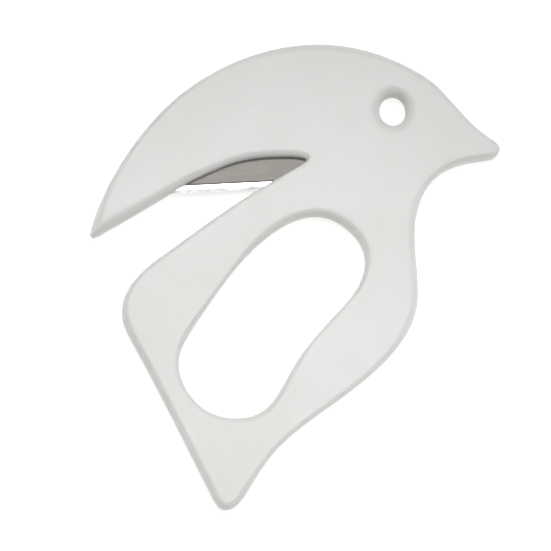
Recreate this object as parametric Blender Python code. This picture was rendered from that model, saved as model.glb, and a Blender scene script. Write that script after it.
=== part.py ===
"""Bird-shaped package opener: two moulded half shells joined round one fixed steel blade.

It lies on its rear face: +Z runs through the thickness, +X towards the beak, +Y towards the crown.
The origin is at the centre of the outline, on the rear face.
"""

import math

import bmesh
import bpy
from mathutils import Matrix, Vector
from mathutils.geometry import delaunay_2d_cdt

MM = 0.001

# Handle, in millimetres
THICKNESS = 5.0
JOINT_GAP = 0.3

# How finely it is drawn, in millimetres and degrees
SIDE_STEP = 3.6
TURN_STEP = 15.0
ROUNDING_ANGLES = (25.0, 55.0, 90.0)
CORNER = 30.0
EYE_SIDES = 24
PIN_SIDES = 16

# A rounding point closer to another side than this share of its own inset is left out
CLEAR_SHARE = 0.97
# How delaunay_2d_cdt is told to keep the material and leave the holes open
INSIDE_WITHOUT_HOLES = 2
SAME_POINT = 1e-6
# How far a Boolean's cutter or pin runs past the face it meets
OVERLAP = 0.5

# Outline nodes: x, y, heading in degrees, radius of the edge rounding there.
# The outline runs anticlockwise, with the material on its left.
OUTLINE = (
    (5.2, 47.2, 180.0, 1.8),
    (-19.6, 39.0, 214.0, 1.0),
    (-35.4, 21.4, 240.0, 1.1),
    (-40.7, 9.6, 254.5, 1.9),
    (-41.2, 7.6, 264.0, 2.0),
    (-40.5, 6.9, 370.0, 2.0),
    (-37.8, 8.3, 390.0, 2.0),
    (-24.4, 16.6, 392.0, 1.6),
    (-14.9, 21.4, 384.0, 1.4),
    (-4.0, 23.6, 362.0, 1.5),
    (1.7, 23.3, 345.0, 1.4),
    (1.8, 22.6, 212.0, 0.9),
    (-13.2, 13.1, 215.0, 0.9),
    (-27.6, 2.5, 217.0, 1.0),
    (-34.7, -8.5, 273.0, 1.4),
    (-32.0, -15.2, 299.0, 1.35),
    (-17.1, -43.8, 297.0, 1.3),
    (-13.9, -47.2, 360.0, 1.3),
    (-10.1, -44.3, 417.0, 1.3),
    (-3.4, -34.7, 406.0, 0.85),
    (9.2, -24.7, 397.0, 0.9),
    (24.4, -3.5, 450.0, 1.6),
    (24.4, 13.0, 436.0, 1.5),
    (29.8, 21.3, 394.0, 1.1),
    (39.0, 24.1, 368.0, 0.9),
    (41.2, 25.9, 455.0, 0.9),
    (39.2, 28.1, 505.0, 0.9),
    (35.0, 31.7, 493.0, 1.0),
    (29.8, 37.6, 492.0, 1.2),
    (24.2, 41.9, 511.0, 1.3),
)
FINGER_HOLE = (
    (4.2, 11.9, 180.0, 1.3),
    (-2.8, 9.6, 212.0, 1.5),
    (-15.4, -3.3, 235.0, 0.5),
    (-22.0, -13.6, 241.0, 1.1),
    (-23.4, -18.6, 270.0, 0.8),
    (-20.6, -25.5, 310.0, 0.8),
    (-12.4, -29.3, 360.0, 1.1),
    (-6.7, -27.7, 397.0, 1.5),
    (-1.6, -20.6, 423.0, 1.2),
    (4.8, -11.6, 409.0, 0.9),
    (13.9, 3.0, 450.0, 1.1),
    (11.2, 8.6, 496.0, 1.4),
)
EYE_CENTRE = (19.6, 33.65)
EYE_HALF = (2.65, 3.0)
EYE_ROUNDING = 2.25

# Blade, in millimetres: its place is the middle of its cutting edge
BLADE_PLACE = (-11.5, 16.93)
BLADE_ANGLE = math.radians(3.6)
BLADE_LENGTH = 37.0
BLADE_WIDTH = 10.0
BLADE_THICKNESS = 0.45
BLADE_BEVEL = 1.42
BLADE_EDGE = 0.04
BLADE_CORNER = 1.2
BLADE_HOLES = ((-14.6, 5.4), (16.2, 5.4))
BLADE_HOLE_RADIUS = 1.3
CLEARANCE = 0.3

# Locating pins on the rear shell, in millimetres
PINS = (
    (-22.0, 31.0),
    (9.0, 36.0),
    (31.0, 28.5),
    (19.0, 0.0),
    (-28.0, -7.0),
    (-13.5, -38.5),
)
PIN_RADIUS = 1.0
PIN_TOP = 3.7
SOCKET_TOP = 4.0

WHITE = (0.84, 0.84, 0.82)
STEEL = (0.55, 0.54, 0.52)

PART_LINE = THICKNESS / 2
REAR_JOINT = PART_LINE - JOINT_GAP / 2
FRONT_JOINT = PART_LINE + JOINT_GAP / 2


def clear_scene():
    for obj in list(bpy.data.objects):
        bpy.data.objects.remove(obj, do_unlink=True)


def material(name, colour, roughness, metallic):
    made = bpy.data.materials.new(name)
    made.use_nodes = True
    shader = made.node_tree.nodes["Principled BSDF"]
    shader.inputs["Base Color"].default_value = (*colour, 1.0)
    shader.inputs["Roughness"].default_value = roughness
    shader.inputs["Metallic"].default_value = metallic
    return made


def curve_between(start, end):
    """The four control points of the Bezier curve between two nodes. A symmetric pair gives an arc."""
    first = Vector(start[:2])
    last = Vector(end[:2])
    heading_out = math.radians(start[2])
    heading_in = math.radians(end[2])
    turn = math.remainder(heading_in - heading_out, 2 * math.pi)
    reach = (last - first).length / (3 * math.cos(turn / 4) ** 2)
    leave = Vector((math.cos(heading_out), math.sin(heading_out))) * reach
    arrive = Vector((math.cos(heading_in), math.sin(heading_in))) * reach
    return (first, first + leave, last - arrive, last), abs(turn), (last - first).length


def on_curve(points, t):
    """The point at t on a cubic Bezier curve, and the direction the curve runs there."""
    u = 1 - t
    first, second, third, fourth = points
    place = u**3 * first + 3 * u * u * t * second + 3 * u * t * t * third + t**3 * fourth
    along = u * u * (second - first) + 2 * u * t * (third - second) + t * t * (fourth - third)
    return place, along


def rim_of(nodes, material_on_left=True):
    """Points along a closed outline: (point, direction into the material, rounding radius)."""
    rim = []
    side = 1.0 if material_on_left else -1.0
    for index, start in enumerate(nodes):
        end = nodes[(index + 1) % len(nodes)]
        points, turn, chord = curve_between(start, end)
        steps = max(2, math.ceil(chord / SIDE_STEP), math.ceil(math.degrees(turn) / TURN_STEP))
        for step in range(steps):
            t = step / steps
            place, along = on_curve(points, t)
            inward = Vector((-along.y, along.x)).normalized() * side
            blend = t * t * (3 - 2 * t)
            rim.append((place, inward, start[3] + (end[3] - start[3]) * blend))
    return rim


def eye_rim():
    """The eye hole's rim, an upright oval."""
    rim = []
    wide, tall = EYE_HALF
    for index in range(EYE_SIDES):
        angle = 2 * math.pi * index / EYE_SIDES
        place = Vector(EYE_CENTRE) + Vector((wide * math.cos(angle), tall * math.sin(angle)))
        outward = Vector((math.cos(angle) / wide, math.sin(angle) / tall)).normalized()
        rim.append((place, outward, EYE_ROUNDING))
    return rim


def distance_to_rims(place, rims):
    """Distance from a point to the nearest side of the outlines."""
    nearest = math.inf
    for rim in rims:
        for index, (start, _, _) in enumerate(rim):
            side = rim[(index + 1) % len(rim)][0] - start
            share = max(0.0, min(1.0, (place - start).dot(side) / side.length_squared))
            nearest = min(nearest, (place - start - side * share).length)
    return nearest


def loop_edges(rims):
    edges = []
    first = 0
    for rim in rims:
        edges += [(first + index, first + (index + 1) % len(rim)) for index in range(len(rim))]
        first += len(rim)
    return edges


def fill(points, edges, rims):
    """Triangles over the material: inside the first outline and outside the others."""
    outer = list(range(len(rims[0])))
    return delaunay_2d_cdt(points, edges, [outer], INSIDE_WITHOUT_HOLES, SAME_POINT)


def half_shell(name, rims, joint, face, mat):
    """A half of the handle, from its flat joint to its rounded outer face."""
    up = 1.0 if face > joint else -1.0
    places = [place for rim in rims for place, _, _ in rim]
    edges = loop_edges(rims)
    tops = [face - up * rounding for rim in rims for _, _, rounding in rim]
    side_count = len(places)
    for rim in rims:
        for place, inward, rounding in rim:
            for angle in map(math.radians, ROUNDING_ANGLES):
                inset = rounding * (1 - math.cos(angle))
                point = place + inward * inset
                if distance_to_rims(point, rims) > CLEAR_SHARE * inset:
                    places.append(point)
                    tops.append(face - up * rounding * (1 - math.sin(angle)))
    mesh = bmesh.new()
    made, _, faces, sources, _, _ = fill(places, edges, rims)
    skin = [mesh.verts.new((co.x, co.y, tops[ids[0]])) for co, ids in zip(made, sources)]
    rim_vert = {ids[0]: vert for vert, ids in zip(skin, sources) if ids[0] < side_count}
    for triangle in faces:
        mesh.faces.new([skin[index] for index in triangle])
    made, _, faces, sources, _, _ = fill(places[:side_count], edges, rims)
    floor = [mesh.verts.new((co.x, co.y, joint)) for co in made]
    floor_vert = {ids[0]: vert for vert, ids in zip(floor, sources)}
    for triangle in faces:
        mesh.faces.new([floor[index] for index in triangle])
    for start, end in edges:
        mesh.faces.new((rim_vert[start], rim_vert[end], floor_vert[end], floor_vert[start]))
    return finish(mesh, name, mat)


def finish(mesh, name, mat):
    """Turns a mesh drawn in millimetres into a named object in metres."""
    bmesh.ops.recalc_face_normals(mesh, faces=mesh.faces)
    bmesh.ops.scale(mesh, vec=(MM, MM, MM), verts=mesh.verts)
    data = bpy.data.meshes.new(name)
    mesh.to_mesh(data)
    mesh.free()
    data.materials.append(mat)
    data.shade_smooth()
    data.set_sharp_from_angle(angle=math.radians(CORNER))
    obj = bpy.data.objects.new(name, data)
    bpy.context.collection.objects.link(obj)
    return obj


def prism(mesh, outline, low, high):
    """Adds an upright prism over a flat outline."""
    lower = [mesh.verts.new((x, y, low)) for x, y in outline]
    upper = [mesh.verts.new((x, y, high)) for x, y in outline]
    mesh.faces.new(lower[::-1])
    mesh.faces.new(upper)
    for index in range(len(outline)):
        after = (index + 1) % len(outline)
        mesh.faces.new((lower[index], lower[after], upper[after], upper[index]))


def circle(centre, radius):
    angles = [2 * math.pi * index / PIN_SIDES for index in range(PIN_SIDES)]
    return [
        (centre[0] + radius * math.cos(angle), centre[1] + radius * math.sin(angle))
        for angle in angles
    ]


def blade_to_handle(point):
    """A point given in the blade's own plane, placed in the handle."""
    return Vector(BLADE_PLACE) + Matrix.Rotation(BLADE_ANGLE, 2) @ Vector(point)


def blade_outline(grow):
    """The blade's outline seen from the front, grown by a clearance."""
    half = BLADE_LENGTH / 2 + grow
    top = BLADE_WIDTH + grow
    return [
        (-half, -grow),
        (half, -grow),
        (half, top - BLADE_CORNER),
        (half - BLADE_CORNER, top),
        (-half + BLADE_CORNER, top),
        (-half, top - BLADE_CORNER),
    ]


def make_blade(mat):
    """A flat strip whose lower edge is ground from both sides to a straight cutting edge."""
    mesh = bmesh.new()
    half = BLADE_THICKNESS / 2
    tip = BLADE_EDGE / 2
    outline = blade_outline(0.0)
    bevel_ends = [(outline[1][0], BLADE_BEVEL), (outline[0][0], BLADE_BEVEL)]
    body = [bevel_ends[1], bevel_ends[0], *outline[2:]]
    front = [mesh.verts.new((x, y, PART_LINE + half)) for x, y in body]
    rear = [mesh.verts.new((x, y, PART_LINE - half)) for x, y in body]
    edge_front = [mesh.verts.new((x, y, PART_LINE + tip)) for x, y in outline[:2]]
    edge_rear = [mesh.verts.new((x, y, PART_LINE - tip)) for x, y in outline[:2]]
    mesh.faces.new(front)
    mesh.faces.new(rear[::-1])
    mesh.faces.new((edge_front[0], edge_front[1], front[1], front[0]))
    mesh.faces.new((rear[0], rear[1], edge_rear[1], edge_rear[0]))
    mesh.faces.new((edge_rear[0], edge_rear[1], edge_front[1], edge_front[0]))
    mesh.faces.new((front[0], rear[0], edge_rear[0], edge_front[0]))
    mesh.faces.new((edge_front[1], edge_rear[1], rear[1], front[1]))
    for index in range(1, len(body)):
        after = (index + 1) % len(body)
        mesh.faces.new((front[index], rear[index], rear[after], front[after]))
    blade = finish(mesh, "blade", mat)
    blade.location = (BLADE_PLACE[0] * MM, BLADE_PLACE[1] * MM, 0.0)
    blade.rotation_euler = (0.0, 0.0, BLADE_ANGLE)
    drill = bmesh.new()
    for centre in BLADE_HOLES:
        hole = circle(blade_to_handle(centre), BLADE_HOLE_RADIUS)
        prism(drill, hole, PART_LINE - half - OVERLAP, PART_LINE + half + OVERLAP)
    boolean(blade, helper(drill, "blade_hole_cutter", mat), "DIFFERENCE")
    return blade


def helper(mesh, name, mat):
    """A hidden object that a Boolean uses."""
    obj = finish(mesh, name, mat)
    obj.hide_render = True
    obj.display_type = "WIRE"
    return obj


def boolean(target, other, operation):
    modifier = target.modifiers.new(other.name, "BOOLEAN")
    modifier.object = other
    modifier.operation = operation
    modifier.solver = "EXACT"


def pocket(mesh, low, high):
    prism(mesh, [blade_to_handle(point) for point in blade_outline(CLEARANCE)], low, high)


def fit_out_rear(shell, mat):
    """The rear half has its share of the blade pocket, and the pins for the blade and the front half."""
    cut = bmesh.new()
    pocket_floor = PART_LINE - BLADE_THICKNESS / 2 - CLEARANCE
    pocket(cut, pocket_floor, REAR_JOINT + OVERLAP)
    boolean(shell, helper(cut, "rear_pocket_cutter", mat), "DIFFERENCE")
    pins = bmesh.new()
    for centre in PINS:
        prism(pins, circle(centre, PIN_RADIUS), REAR_JOINT - OVERLAP, PIN_TOP)
    for centre in BLADE_HOLES:
        prism(pins, circle(blade_to_handle(centre), PIN_RADIUS), pocket_floor - OVERLAP, PIN_TOP)
    boolean(shell, helper(pins, "rear_pins", mat), "UNION")


def fit_out_front(shell, mat):
    """The front half has the rest of the blade pocket, and a socket over each pin."""
    cut = bmesh.new()
    pocket(cut, FRONT_JOINT - OVERLAP, PART_LINE + BLADE_THICKNESS / 2 + CLEARANCE)
    boolean(shell, helper(cut, "front_pocket_cutter", mat), "DIFFERENCE")
    sockets = bmesh.new()
    centres = [*PINS, *(blade_to_handle(centre) for centre in BLADE_HOLES)]
    for centre in centres:
        prism(sockets, circle(centre, PIN_RADIUS + CLEARANCE), FRONT_JOINT - OVERLAP, SOCKET_TOP)
    boolean(shell, helper(sockets, "socket_cutter", mat), "DIFFERENCE")


def main():
    clear_scene()
    plastic_front = material("white_plastic_front", WHITE, 0.38, 0.0)
    plastic_rear = material("white_plastic_rear", WHITE, 0.38, 0.0)
    steel = material("ground_steel", STEEL, 0.3, 1.0)
    rims = [rim_of(OUTLINE), rim_of(FINGER_HOLE, material_on_left=False), eye_rim()]
    rear = half_shell("rear_shell", rims, REAR_JOINT, 0.0, plastic_rear)
    front = half_shell("front_shell", rims, FRONT_JOINT, THICKNESS, plastic_front)
    make_blade(steel)
    fit_out_rear(rear, plastic_rear)
    fit_out_front(front, plastic_front)


main()
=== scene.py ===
"""The looks of the bird-shaped package opener: two white moulded half shells and a ground steel blade.

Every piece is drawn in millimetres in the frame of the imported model, where it stands for one CAD node:
+Z through the thickness, +X towards the beak, +Y towards the crown.
"""

import math

import bmesh
import bpy
import numpy as np
from mathutils import Matrix, Vector, noise
from mathutils.geometry import delaunay_2d_cdt


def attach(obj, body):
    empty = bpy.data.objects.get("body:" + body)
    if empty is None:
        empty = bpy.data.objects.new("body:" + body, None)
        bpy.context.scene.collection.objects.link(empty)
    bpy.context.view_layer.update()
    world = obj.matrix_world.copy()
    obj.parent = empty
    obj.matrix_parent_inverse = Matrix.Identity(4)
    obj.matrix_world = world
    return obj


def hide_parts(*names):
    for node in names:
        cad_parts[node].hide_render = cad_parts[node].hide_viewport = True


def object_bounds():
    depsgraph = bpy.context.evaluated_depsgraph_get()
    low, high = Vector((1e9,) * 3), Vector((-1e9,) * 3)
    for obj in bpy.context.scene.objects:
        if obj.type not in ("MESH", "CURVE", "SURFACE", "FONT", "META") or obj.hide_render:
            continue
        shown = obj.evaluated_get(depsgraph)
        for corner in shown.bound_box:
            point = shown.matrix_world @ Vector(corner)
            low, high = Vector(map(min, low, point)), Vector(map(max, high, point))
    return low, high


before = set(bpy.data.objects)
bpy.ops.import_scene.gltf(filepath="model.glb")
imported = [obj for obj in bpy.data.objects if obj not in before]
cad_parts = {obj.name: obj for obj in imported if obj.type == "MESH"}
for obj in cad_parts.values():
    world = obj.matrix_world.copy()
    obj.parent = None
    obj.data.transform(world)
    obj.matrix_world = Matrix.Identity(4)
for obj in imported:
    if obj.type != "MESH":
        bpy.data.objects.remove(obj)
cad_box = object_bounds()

MM = 0.001
BODY = "root"

# The handle's outline, in millimetres: x, y, heading in degrees, radius of the edge rounding there.
# It runs anticlockwise, with the material on its left. The finger hole runs the same way, with the
# material on its right.
OUTLINE = (
    (5.2, 47.2, 180.0, 1.8),
    (-19.6, 39.0, 214.0, 1.0),
    (-35.4, 21.4, 240.0, 1.1),
    (-40.7, 9.6, 254.5, 1.9),
    (-41.2, 7.6, 264.0, 2.0),
    (-40.5, 6.9, 370.0, 2.0),
    (-37.8, 8.3, 390.0, 2.0),
    (-24.4, 16.6, 392.0, 1.6),
    (-14.9, 21.4, 384.0, 1.4),
    (-4.0, 23.6, 362.0, 1.5),
    (1.7, 23.3, 345.0, 1.4),
    (1.8, 22.6, 212.0, 0.9),
    (-13.2, 13.1, 215.0, 0.9),
    (-27.6, 2.5, 217.0, 1.0),
    (-34.7, -8.5, 273.0, 1.4),
    (-32.0, -15.2, 299.0, 1.35),
    (-17.1, -43.8, 297.0, 1.3),
    (-13.9, -47.2, 360.0, 1.3),
    (-10.1, -44.3, 417.0, 1.3),
    (-3.4, -34.7, 406.0, 0.85),
    (9.2, -24.7, 397.0, 0.9),
    (24.4, -3.5, 450.0, 1.6),
    (24.4, 13.0, 436.0, 1.5),
    (29.8, 21.3, 394.0, 1.1),
    (39.0, 24.1, 368.0, 0.9),
    (41.2, 25.9, 455.0, 0.9),
    (39.2, 28.1, 505.0, 0.9),
    (35.0, 31.7, 493.0, 1.0),
    (29.8, 37.6, 492.0, 1.2),
    (24.2, 41.9, 511.0, 1.3),
)
FINGER_HOLE = (
    (4.2, 11.9, 180.0, 1.3),
    (-2.8, 9.6, 212.0, 1.5),
    (-15.4, -3.3, 235.0, 0.5),
    (-22.0, -13.6, 241.0, 1.1),
    (-23.4, -18.6, 270.0, 0.8),
    (-20.6, -25.5, 310.0, 0.8),
    (-12.4, -29.3, 360.0, 1.1),
    (-6.7, -27.7, 397.0, 1.5),
    (-1.6, -20.6, 423.0, 1.2),
    (4.8, -11.6, 409.0, 0.9),
    (13.9, 3.0, 450.0, 1.1),
    (11.2, 8.6, 496.0, 1.4),
)
EYE_CENTRE = (19.6, 33.65)
EYE_HALF = (2.65, 3.0)
EYE_ROUNDING = 2.25

# How finely the shells are drawn, in millimetres and degrees
SIDE_STEP = 0.5
TURN_STEP = 5.0
FEWEST_STEPS = 4
EYE_SIDES = 120
ROUNDING_RINGS = 12
FACE_MARGIN = 0.3
CLEAR_SHARE = 0.97

# Edges that turn by more than this many degrees stay sharp, on the whole and on the ground blade
CORNER = 30.0
GRIND_CORNER = 1.2

# Filling an outline: Blender's number for keeping holes open, and how near two points are one point.
# The overlap, in millimetres, is how far cutting and joining shapes reach past each other.
INSIDE_WITHOUT_HOLES = 2
SAME_POINT = 1e-6
OVERLAP = 0.5

# The joint between the halves: half its width, and the small chamfer along each lip
JOINT_HALF = 0.02
LIP = 0.09

# Blade, in millimetres: its place is the middle of its cutting edge, and x runs along that edge
BLADE_PLACE = (-11.5, 16.93)
BLADE_ANGLE = math.radians(3.6)
BLADE_LENGTH = 37.0
BLADE_WIDTH = 10.0
BLADE_THICKNESS = 0.45
BLADE_BEVEL = 1.42
BLADE_CORNER = 1.2
BLADE_HOLES = ((-14.6, 5.4), (16.2, 5.4))
BLADE_HOLE_RADIUS = 1.3
BLADE_STEP = 0.12
POCKET_CLEARANCE = 0.04

# The blade's grind, in millimetres: the shoulder where it starts, the band along the cutting edge, and
# half the thickness at the edge and where that band ends
SHOULDER = 0.3
SHOULDER_DROP = 0.045
EDGE_BAND = 0.62
EDGE_HALF = 0.012
BAND_HALF = 0.1

# How much the band's width wavers, as a share of it, and the slow and fast noise that it follows, in
# features to the millimetre. The fast noise is read from a row of its own.
BAND_WAVER = 0.25
WAVER_SLOW = 3.1
WAVER_FAST = 9.7
WAVER_FAST_SHARE = 0.7
WAVER_FAST_ROW = 4.0

# Locating pins inside, in millimetres. The tops are heights in the frame.
PINS = (
    (-22.0, 31.0),
    (9.0, 36.0),
    (31.0, 28.5),
    (19.0, 0.0),
    (-28.0, -7.0),
    (-13.5, -38.5),
)
PIN_RADIUS = 1.0
PIN_TOP = 3.7
SOCKET_TOP = 4.0
SOCKET_CLEARANCE = 0.1
ROUND_SIDES = 48

# Camera: where it looks in the object's own middle plane, in millimetres, and from where. The distance
# and the clipping are in metres.
VIEW_OFFSET = (-4.146, -0.355)
VIEW_AZIMUTH = math.radians(-20.78)
VIEW_ELEVATION = math.radians(79.24)
VIEW_DISTANCE = 0.52
LENS = 170.0
SENSOR = 36.0
CLIP_NEAR = 0.01
CLIP_FAR = 100.0

# Studio: name, azimuth and elevation in degrees, size in metres, power in watts, spread in degrees,
# and the place aimed at, in millimetres from the object's middle
LIGHTS = (
    ("main", 120.0, 80.0, 0.22, 0.046, 28.0, (10.0, -34.0)),
    ("main_crown", 200.0, 72.0, 0.22, 0.098, 28.0, (6.0, -38.0)),
    ("low_crown", 180.0, 18.0, 0.45, 0.60, 180.0, (0.0, 0.0)),
    ("low_wing", 270.0, 10.0, 0.45, 1.0, 180.0, (0.0, 0.0)),
    ("low_tail", 60.0, 10.0, 0.45, 0.70, 180.0, (0.0, 0.0)),
    ("low_breast", 90.0, 18.0, 0.45, 0.93, 180.0, (0.0, 0.0)),
)
LIGHT_DISTANCE = 0.75
LIGHT_UP = (0.0, 0.3, 1.0)
WORLD_COLOUR = (1.0, 1.0, 1.0)
WORLD_STRENGTH = 0.3

# Floor: it glows a little. Its size and its drop below the object are in metres.
FLOOR_ALBEDO = 0.5
FLOOR_TINT = (1.0, 0.985, 0.965)
FLOOR_GLOW = 0.69
FLOOR_ROUGHNESS = 0.9
FLOOR_SIZE = 6.0
FLOOR_DROP = 0.00005

# The range that most of a noise's values lie in
NOISE_RANGE = (0.3, 0.7)

# Plastic. Colours are linear, noise is features to the metre and then detail, and depths are in metres.
PLASTIC_WARM = (0.600, 0.598, 0.581)
PLASTIC_COOL = (0.642, 0.642, 0.632)
PLASTIC_SPECK = (0.45, 0.42, 0.38)
PLASTIC_ROUGHNESS = 0.42
PLASTIC_ROUGHNESS_SPREAD = 0.04
PLASTIC_IOR = 1.5
SCATTER_WEIGHT = 0.06
SCATTER_RADIUS = (1.0, 0.85, 0.7)
SCATTER_SCALE = 0.0008
CLOUDS = (45.0, 3.0)
GRAIN = (900.0, 2.0)
SPECKS = (1400.0, 0.0)
SPECK_RANGE = (0.80, 0.86)
SPECK_STRENGTH = 0.3
SPECK_GROUPS = (90.0, 0.0)
SPECK_GROUP_RANGE = (0.5, 0.6)
SKIN = (5200.0, 1.0)
SKIN_SHARE = 0.25
SWELL = (260.0, 1.0)
SKIN_DEPTH = 0.000006

# The blade's surfaces by material index: name, two linear colours, roughness, whether the scratches run
# along the blade, and the noise along and across them in features to the metre. The colours are painted
# light on one steel: the flat and the shoulder are painted dark reflections, the bevel is a painted
# highlight, and the edge band carries painted glints.
FLAT, BEVEL, EDGE, START = range(4)
STEELS_WITH_PAINTED_LIGHT = (
    # painted dark reflection: the flat is darkened to stand in for the dark surroundings it mirrors
    ("steel_flat_painted_dark_reflection", (0.150, 0.142, 0.131), (0.168, 0.160, 0.149), 0.5, True, (120.0, 9000.0)),
    # painted highlight: the bevel is nearly white to stand in for the bright light it mirrors
    ("steel_bevel_painted_highlight", (0.90, 0.90, 0.89), (0.96, 0.96, 0.95), 0.25, False, (160.0, 9000.0)),
    # painted glints: light and dark dots along the cutting edge stand in for glints off its burrs
    ("steel_edge_painted_glints", (0.27, 0.27, 0.26), (0.71, 0.71, 0.70), 0.5, False, (900.0, 1300.0)),
    # painted dark line: the shoulder is darkened to stand in for its dark reflection where the grind
    # starts
    ("steel_shoulder_painted_dark_line", (0.068, 0.066, 0.062), (0.092, 0.09, 0.085), 0.5, True, (120.0, 9000.0)),
)
STEEL_TURN = -BLADE_ANGLE
STEEL_ROUGHNESS_SPREAD = 0.05
SCRATCHES = (1.0, 3.0, 0.6)
SCRATCH_SHARE = 0.7
SCRATCH_DEPTH = 0.0000015
PATCHES = (260.0, 2.0)
PATCH_SHARE = 0.3
SHADE_RANGE = (0.35, 0.65)


# ---- shapes -------------------------------------------------------------------------------------


def curve_between(start, end):
    """The four control points of the Bezier curve between two nodes. A symmetric pair gives an arc."""
    first = np.array(start[:2])
    last = np.array(end[:2])
    heading_out = math.radians(start[2])
    heading_in = math.radians(end[2])
    turn = math.remainder(heading_in - heading_out, 2 * math.pi)
    chord = float(np.linalg.norm(last - first))
    reach = chord / (3 * math.cos(turn / 4) ** 2)
    leave = reach * np.array((math.cos(heading_out), math.sin(heading_out)))
    arrive = reach * np.array((math.cos(heading_in), math.sin(heading_in)))
    return (first, first + leave, last - arrive, last), abs(turn), chord


def rim_of(nodes, material_on_left=True):
    """A closed outline as rows of x, y, the direction into the material, and the rounding radius."""
    rows = []
    side = 1.0 if material_on_left else -1.0
    for index, start in enumerate(nodes):
        end = nodes[(index + 1) % len(nodes)]
        (first, second, third, fourth), turn, chord = curve_between(start, end)
        steps = max(FEWEST_STEPS, math.ceil(chord / SIDE_STEP), math.ceil(math.degrees(turn) / TURN_STEP))
        for step in range(steps):
            t = step / steps
            u = 1 - t
            place = u**3 * first + 3 * u * u * t * second + 3 * u * t * t * third + t**3 * fourth
            along = u * u * (second - first) + 2 * u * t * (third - second) + t * t * (fourth - third)
            along /= np.linalg.norm(along)
            blend = t * t * (3 - 2 * t)
            rounding = start[3] + (end[3] - start[3]) * blend
            rows.append((*place, -along[1] * side, along[0] * side, rounding))
    return np.array(rows)


def eye_rim():
    """The eye hole's rim, an upright oval, in the same rows."""
    angles = np.arange(EYE_SIDES) * 2 * math.pi / EYE_SIDES
    wide, tall = EYE_HALF
    outward = np.stack((np.cos(angles) / wide, np.sin(angles) / tall), axis=1)
    outward /= np.linalg.norm(outward, axis=1, keepdims=True)
    x = EYE_CENTRE[0] + wide * np.cos(angles)
    y = EYE_CENTRE[1] + tall * np.sin(angles)
    return np.column_stack((x, y, outward, np.full(EYE_SIDES, EYE_ROUNDING)))


def distance_to_rims(points, rims):
    """Distance from each point to the nearest side of the outlines."""
    nearest = np.full(len(points), np.inf)
    for rim in rims:
        starts = rim[:, :2]
        sides = np.roll(starts, -1, axis=0) - starts
        squares = (sides**2).sum(axis=1)
        for start, side, square in zip(starts, sides, squares):
            away = points - start
            share = np.clip(away @ side / square, 0.0, 1.0)
            gap = np.linalg.norm(away - share[:, None] * side, axis=1)
            nearest = np.minimum(nearest, gap)
    return nearest


def loop_edges(rims):
    edges = []
    first = 0
    for rim in rims:
        edges += [(first + index, first + (index + 1) % len(rim)) for index in range(len(rim))]
        first += len(rim)
    return edges


def fill(points, edges, outer_count):
    """Triangles over the material: inside the first outline and outside the others."""
    places = [Vector(point) for point in points]
    return delaunay_2d_cdt(places, edges, [list(range(outer_count))], INSIDE_WITHOUT_HOLES, SAME_POINT)


def half_shell(name, rims, joint, face):
    """A half of the handle: flat joint, chamfered lip, upright side and rounded outer edge."""
    up = 1.0 if face > joint else -1.0
    rim = np.concatenate(rims)
    count = len(rim)
    places, inward, rounding = rim[:, :2], rim[:, 2:4], rim[:, 4]
    edges = loop_edges(rims)
    points, tops = [places], [face - up * rounding]
    angles = [math.pi / 2 * ring / ROUNDING_RINGS for ring in range(1, ROUNDING_RINGS + 1)]
    rings = [(rounding * (1 - math.cos(a)), rounding * (1 - math.sin(a))) for a in angles]
    rings.append((rounding + FACE_MARGIN, np.zeros(count)))
    for inset, drop in rings:
        ring = places + inward * inset[:, None]
        clear = distance_to_rims(ring, rims) > CLEAR_SHARE * inset
        points.append(ring[clear])
        tops.append((face - up * drop)[clear])
    points, tops = np.concatenate(points), np.concatenate(tops)

    mesh = bmesh.new()
    made, _, faces, sources, _, _ = fill(points, edges, len(rims[0]))
    skin = [mesh.verts.new((co.x, co.y, tops[ids[0]])) for co, ids in zip(made, sources)]
    side_top = {ids[0]: vert for vert, ids in zip(skin, sources) if ids[0] < count}
    for triangle in faces:
        mesh.faces.new([skin[index] for index in triangle])
    made, _, faces, sources, _, _ = fill(places + inward * LIP, edges, len(rims[0]))
    inner = [mesh.verts.new((co.x, co.y, joint)) for co in made]
    lip_inner = {ids[0]: vert for vert, ids in zip(inner, sources)}
    for triangle in faces:
        mesh.faces.new([inner[index] for index in triangle])
    lip_outer = [mesh.verts.new((x, y, joint + up * LIP)) for x, y in places]
    for start, end in edges:
        mesh.faces.new((side_top[start], side_top[end], lip_outer[end], lip_outer[start]))
        mesh.faces.new((lip_outer[start], lip_outer[end], lip_inner[end], lip_inner[start]))
    return finish_mesh(mesh, name)


def finish_mesh(mesh, name):
    """Turns a mesh drawn in millimetres into a smooth-shaded object in metres."""
    bmesh.ops.recalc_face_normals(mesh, faces=mesh.faces)
    bmesh.ops.scale(mesh, vec=(MM, MM, MM), verts=mesh.verts)
    data = bpy.data.meshes.new(name)
    mesh.to_mesh(data)
    mesh.free()
    data.shade_smooth()
    data.set_sharp_from_angle(angle=math.radians(CORNER))
    obj = bpy.data.objects.new(name, data)
    bpy.context.scene.collection.objects.link(obj)
    return obj


def prism(mesh, outline, low, high):
    """Adds an upright prism over a flat outline."""
    lower = [mesh.verts.new((x, y, low)) for x, y in outline]
    upper = [mesh.verts.new((x, y, high)) for x, y in outline]
    mesh.faces.new(lower[::-1])
    mesh.faces.new(upper)
    for index in range(len(outline)):
        after = (index + 1) % len(outline)
        mesh.faces.new((lower[index], lower[after], upper[after], upper[index]))


def circle(centre, radius):
    angles = [2 * math.pi * index / ROUND_SIDES for index in range(ROUND_SIDES)]
    return [
        (centre[0] + radius * math.cos(angle), centre[1] + radius * math.sin(angle))
        for angle in angles
    ]


def blade_to_handle(point):
    """A point given in the blade's own plane, placed in the handle."""
    return Vector(BLADE_PLACE) + Matrix.Rotation(BLADE_ANGLE, 2) @ Vector(point)


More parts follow.
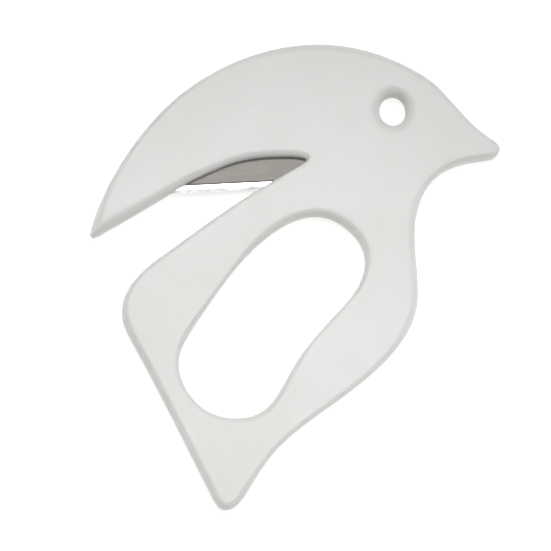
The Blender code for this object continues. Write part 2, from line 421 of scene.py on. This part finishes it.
def apply_boolean(target, mesh, operation):
    """Joins or cuts a mesh drawn in millimetres, and leaves no helper behind."""
    helper = finish_mesh(mesh, target.name + "_helper")
    modifier = target.modifiers.new("cut", "BOOLEAN")
    modifier.object = helper
    modifier.operation = operation
    modifier.solver = "EXACT"
    graph = bpy.context.evaluated_depsgraph_get()
    made = bpy.data.meshes.new_from_object(target.evaluated_get(graph), depsgraph=graph)
    target.modifiers.clear()
    target.data = made
    bpy.data.objects.remove(helper)


def cut_pocket(shell, low, high):
    """Cuts the space that the blade lies in."""
    half = BLADE_LENGTH / 2 + POCKET_CLEARANCE
    top = BLADE_WIDTH + POCKET_CLEARANCE
    outline = (
        (-half, -POCKET_CLEARANCE),
        (half, -POCKET_CLEARANCE),
        (half, top - BLADE_CORNER),
        (half - BLADE_CORNER, top),
        (BLADE_CORNER - half, top),
        (-half, top - BLADE_CORNER),
    )
    cut = bmesh.new()
    prism(cut, [blade_to_handle(point) for point in outline], low, high)
    apply_boolean(shell, cut, "DIFFERENCE")


def make_shells(middle, rear_face, front_face):
    """Both halves, fitted out inside with the blade's pocket, the pins and their sockets."""
    rims = [rim_of(OUTLINE), rim_of(FINGER_HOLE, material_on_left=False), eye_rim()]
    rear = half_shell("rear_half", rims, middle - JOINT_HALF, rear_face)
    front = half_shell("front_half", rims, middle + JOINT_HALF, front_face)
    depth = BLADE_THICKNESS / 2 + POCKET_CLEARANCE
    cut_pocket(rear, middle - depth, middle + OVERLAP)
    cut_pocket(front, middle - OVERLAP, middle + depth)
    centres = [*PINS, *(blade_to_handle(centre) for centre in BLADE_HOLES)]
    pins = bmesh.new()
    sockets = bmesh.new()
    for centre in centres:
        prism(pins, circle(centre, PIN_RADIUS), middle - depth - OVERLAP, PIN_TOP)
        prism(sockets, circle(centre, PIN_RADIUS + SOCKET_CLEARANCE), middle - OVERLAP, SOCKET_TOP)
    apply_boolean(rear, pins, "UNION")
    apply_boolean(front, sockets, "DIFFERENCE")
    return rear, front


def make_blade(middle, painted_steels):
    """The blade as columns of points from the cutting edge to the back, on both sides.

    The band along the edge is a second, finer grind, and its width wavers as a real one's does.
    Its strips are flat, bevel, the band at the edge, and the narrow shoulder where the grinding starts.
    """
    half = BLADE_LENGTH / 2
    steps = round(BLADE_LENGTH / BLADE_STEP)
    stations = [-half + BLADE_LENGTH * step / steps for step in range(steps + 1)]
    mesh = bmesh.new()
    columns = []
    for x in stations:
        fast = noise.noise((x * WAVER_FAST, WAVER_FAST_ROW, 0.0))
        waver = noise.noise((x * WAVER_SLOW, 0.0, 0.0)) + WAVER_FAST_SHARE * fast
        band = EDGE_BAND * (1 + BAND_WAVER * waver)
        back = BLADE_WIDTH - max(0.0, BLADE_CORNER - (half - abs(x)))
        full = BLADE_THICKNESS / 2
        profile = ((0.0, EDGE_HALF), (band, BAND_HALF), (BLADE_BEVEL, full - SHOULDER_DROP))
        profile = (*profile, (BLADE_BEVEL + SHOULDER, full), (back, full))
        column = []
        for side in (1.0, -1.0):
            for y, rise in profile[:: int(side)]:
                place = blade_to_handle((x, y))
                column.append(mesh.verts.new((place.x, place.y, middle + side * rise)))
        columns.append(column)
    around = len(columns[0])
    kinds = (EDGE, BEVEL, START, FLAT, FLAT, FLAT, START, BEVEL, EDGE, EDGE)
    for left, right in zip(columns, columns[1:]):
        for index in range(around):
            after = (index + 1) % around
            quad = mesh.faces.new((left[index], right[index], right[after], left[after]))
            quad.material_index = kinds[index]
    mesh.faces.new(columns[0])
    mesh.faces.new(columns[-1][::-1])
    blade = finish_mesh(mesh, "razor_blade")
    blade.data.set_sharp_from_angle(angle=math.radians(GRIND_CORNER))
    for grind in painted_steels:
        blade.data.materials.append(grind)
    drill = bmesh.new()
    for centre in BLADE_HOLES:
        hole = circle(blade_to_handle(centre), BLADE_HOLE_RADIUS)
        prism(drill, hole, middle - OVERLAP, middle + OVERLAP)
    apply_boolean(blade, drill, "DIFFERENCE")
    return blade


# ---- materials ----------------------------------------------------------------------------------


class Nodes:
    """A short way to write a material's node tree."""

    def __init__(self, name):
        self.material = bpy.data.materials.new(name)
        self.material.use_nodes = True
        self.tree = self.material.node_tree
        self.shader = self.tree.nodes["Principled BSDF"]

    def add(self, kind, **values):
        """A node, with numbers for the sockets of those names."""
        node = self.tree.nodes.new("ShaderNode" + kind)
        for key, value in values.items():
            node.inputs[key.replace("_", " ").title()].default_value = value
        return node

    def feed(self, socket, value):
        """Links another node's output to a socket, or sets a number or a colour on it."""
        if hasattr(value, "is_output"):
            self.tree.links.new(value, socket)
        elif isinstance(value, tuple):
            socket.default_value = (*value, 1.0)
        else:
            socket.default_value = value

    def math(self, operation, first, second):
        node = self.add("Math")
        node.operation = operation
        self.feed(node.inputs[0], first)
        self.feed(node.inputs[1], second)
        return node.outputs[0]

    def mix(self, factor, first, second):
        """A colour between two, each a colour or another node's output."""
        node = self.add("Mix")
        node.data_type = "RGBA"
        self.feed(node.inputs[0], factor)
        self.feed(node.inputs[6], first)
        self.feed(node.inputs[7], second)
        return node.outputs[2]

    def map_range(self, value, low, high, to_low=0.0, to_high=1.0):
        node = self.add("MapRange", from_min=low, from_max=high, to_min=to_low, to_max=to_high)
        self.feed(node.inputs[0], value)
        return node.outputs[0]

    def noise(self, vector, scale, detail, roughness=0.5):
        """Noise from 0 to 1 with so many features to the metre."""
        node = self.add("TexNoise", scale=scale, detail=detail, roughness=roughness)
        self.feed(node.inputs["Vector"], vector)
        return node.outputs[0]

    def place(self, turn=0.0, stretch=(1.0, 1.0, 1.0)):
        """The surface point in the object's frame, turned about Z and stretched."""
        point = self.add("TexCoord").outputs["Object"]
        node = self.add("Mapping")
        node.inputs["Rotation"].default_value = (0.0, 0.0, turn)
        node.inputs["Scale"].default_value = stretch
        self.tree.links.new(point, node.inputs["Vector"])
        return node.outputs[0]

    def into(self, socket, value):
        self.tree.links.new(value, self.shader.inputs[socket])

    def bump(self, height, depth):
        """Bump of a depth in metres."""
        node = self.add("Bump", strength=1.0, distance=depth)
        self.tree.links.new(height, node.inputs["Height"])
        self.into("Normal", node.outputs[0])


def white_plastic(name):
    """Satin white moulded plastic: faint cloudiness, a fine spark-eroded skin and a few dark specks."""
    nodes = Nodes(name)
    shader = nodes.shader
    shader.inputs["IOR"].default_value = PLASTIC_IOR
    shader.inputs["Subsurface Weight"].default_value = SCATTER_WEIGHT
    shader.inputs["Subsurface Radius"].default_value = SCATTER_RADIUS
    shader.inputs["Subsurface Scale"].default_value = SCATTER_SCALE
    point = nodes.place()
    cloud = nodes.noise(point, *CLOUDS)
    grain = nodes.noise(point, *GRAIN)
    tint = nodes.map_range(cloud, *NOISE_RANGE)
    base = nodes.mix(tint, PLASTIC_WARM, PLASTIC_COOL)
    speck_field = nodes.noise(point, *SPECKS)
    speck_place = nodes.noise(point, *SPECK_GROUPS)
    speck = nodes.map_range(speck_field, *SPECK_RANGE, 0.0, SPECK_STRENGTH)
    speck = nodes.math("MULTIPLY", speck, nodes.map_range(speck_place, *SPECK_GROUP_RANGE))
    base = nodes.mix(speck, base, PLASTIC_SPECK)
    nodes.into("Base Color", base)
    smooth = PLASTIC_ROUGHNESS - PLASTIC_ROUGHNESS_SPREAD
    rough = PLASTIC_ROUGHNESS + PLASTIC_ROUGHNESS_SPREAD
    nodes.into("Roughness", nodes.map_range(grain, *NOISE_RANGE, smooth, rough))
    skin = nodes.noise(point, *SKIN)
    swell = nodes.noise(point, *SWELL)
    height = nodes.math("ADD", nodes.math("MULTIPLY", skin, SKIN_SHARE), swell)
    nodes.bump(height, SKIN_DEPTH)
    return nodes.material


def steel(name, dark, light, roughness, along, streaks):
    """Ground steel whose fine scratches run along the blade or across it, as `along` says.

    The scratches' scale is in the stretch, so their noise has a scale of 1.
    """
    nodes = Nodes(name)
    nodes.shader.inputs["Metallic"].default_value = 1.0
    stretch = (streaks[0], streaks[1], streaks[0])
    if not along:
        stretch = (streaks[1], streaks[0], streaks[0])
    scratch = nodes.noise(nodes.place(STEEL_TURN, stretch), *SCRATCHES)
    patch = nodes.noise(nodes.place(), *PATCHES)
    scratched = nodes.math("MULTIPLY", scratch, SCRATCH_SHARE)
    patched = nodes.math("MULTIPLY", patch, PATCH_SHARE)
    shade = nodes.math("ADD", scratched, patched)
    # painted light: the dark and light colours are this grind's painted reflection levels, not the
    # steel's own colour
    nodes.into("Base Color", nodes.mix(nodes.map_range(shade, *SHADE_RANGE), dark, light))
    smooth = roughness - STEEL_ROUGHNESS_SPREAD
    rough = roughness + STEEL_ROUGHNESS_SPREAD
    nodes.into("Roughness", nodes.map_range(scratch, *NOISE_RANGE, smooth, rough))
    nodes.bump(scratch, SCRATCH_DEPTH)
    return nodes.material


def floor_material():
    nodes = Nodes("studio_white")
    nodes.shader.inputs["Base Color"].default_value = (FLOOR_ALBEDO, FLOOR_ALBEDO, FLOOR_ALBEDO, 1.0)
    nodes.shader.inputs["Roughness"].default_value = FLOOR_ROUGHNESS
    nodes.shader.inputs["Emission Color"].default_value = (*FLOOR_TINT, 1.0)
    nodes.shader.inputs["Emission Strength"].default_value = FLOOR_GLOW
    return nodes.material


# ---- studio -------------------------------------------------------------------------------------


def towards(azimuth, elevation):
    """The direction from the object to the viewer: azimuth 0 stands at -Y, and 90 at +X."""
    flat = math.cos(elevation)
    return Vector((math.sin(azimuth) * flat, -math.cos(azimuth) * flat, math.sin(elevation)))


def aim(obj, place, target, upright):
    """Puts a camera or a light at a place, looking at a target, with the given side up."""
    back = (place - target).normalized()
    right = upright.cross(back).normalized()
    up = back.cross(right)
    obj.matrix_world = Matrix((right, up, back)).transposed().to_4x4()
    obj.location = place


def make_camera(centre):
    data = bpy.data.cameras.new("camera")
    data.lens = LENS
    data.sensor_width = SENSOR
    data.clip_start = CLIP_NEAR
    data.clip_end = CLIP_FAR
    camera = bpy.data.objects.new("camera", data)
    bpy.context.scene.collection.objects.link(camera)
    target = centre + Vector((*VIEW_OFFSET, 0.0)) * MM
    place = target + towards(VIEW_AZIMUTH, VIEW_ELEVATION) * VIEW_DISTANCE
    aim(camera, place, target, Vector((0.0, 1.0, 0.0)))
    bpy.context.scene.camera = camera


def make_light(centre, name, azimuth, elevation, size, power, spread, offset):
    data = bpy.data.lights.new(name, "AREA")
    data.shape = "SQUARE"
    data.size = size
    data.energy = power
    data.spread = math.radians(spread)
    light = bpy.data.objects.new(name, data)
    bpy.context.scene.collection.objects.link(light)
    target = centre + Vector((*offset, 0.0)) * MM
    place = target + towards(math.radians(azimuth), math.radians(elevation)) * LIGHT_DISTANCE
    aim(light, place, target, Vector(LIGHT_UP))


def make_floor(height):
    data = bpy.data.meshes.new("floor")
    half = FLOOR_SIZE / 2
    corners = ((-half, -half), (half, -half), (half, half), (-half, half))
    data.from_pydata([(x, y, height) for x, y in corners], [], [(0, 1, 2, 3)])
    data.materials.append(floor_material())
    floor = bpy.data.objects.new("floor", data)
    bpy.context.scene.collection.objects.link(floor)


def make_world():
    world = bpy.data.worlds.new("studio")
    world.use_nodes = True
    background = world.node_tree.nodes["Background"]
    background.inputs["Color"].default_value = (*WORLD_COLOUR, 1.0)
    background.inputs["Strength"].default_value = WORLD_STRENGTH
    bpy.context.scene.world = world
    bpy.context.scene.view_settings.view_transform = "Standard"


# ---- the whole ----------------------------------------------------------------------------------


def place_piece(piece, node):
    """Lets a piece stand for its CAD node."""
    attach(piece, BODY)
    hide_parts(node)


low, high = cad_box
centre = (low + high) / 2
middle = centre.z / MM

rear, front = make_shells(middle, low.z / MM, high.z / MM)
rear.data.materials.append(white_plastic("white_plastic_rear"))
front.data.materials.append(white_plastic("white_plastic_front"))
painted_steels = [steel(*grind) for grind in STEELS_WITH_PAINTED_LIGHT]
blade = make_blade(middle, painted_steels)
place_piece(rear, "rear_shell")
place_piece(front, "front_shell")
place_piece(blade, "blade")

make_floor(low.z - FLOOR_DROP)
make_world()
for setting in LIGHTS:
    make_light(centre, *setting)
make_camera(centre)

bpy.context.view_layer.update()
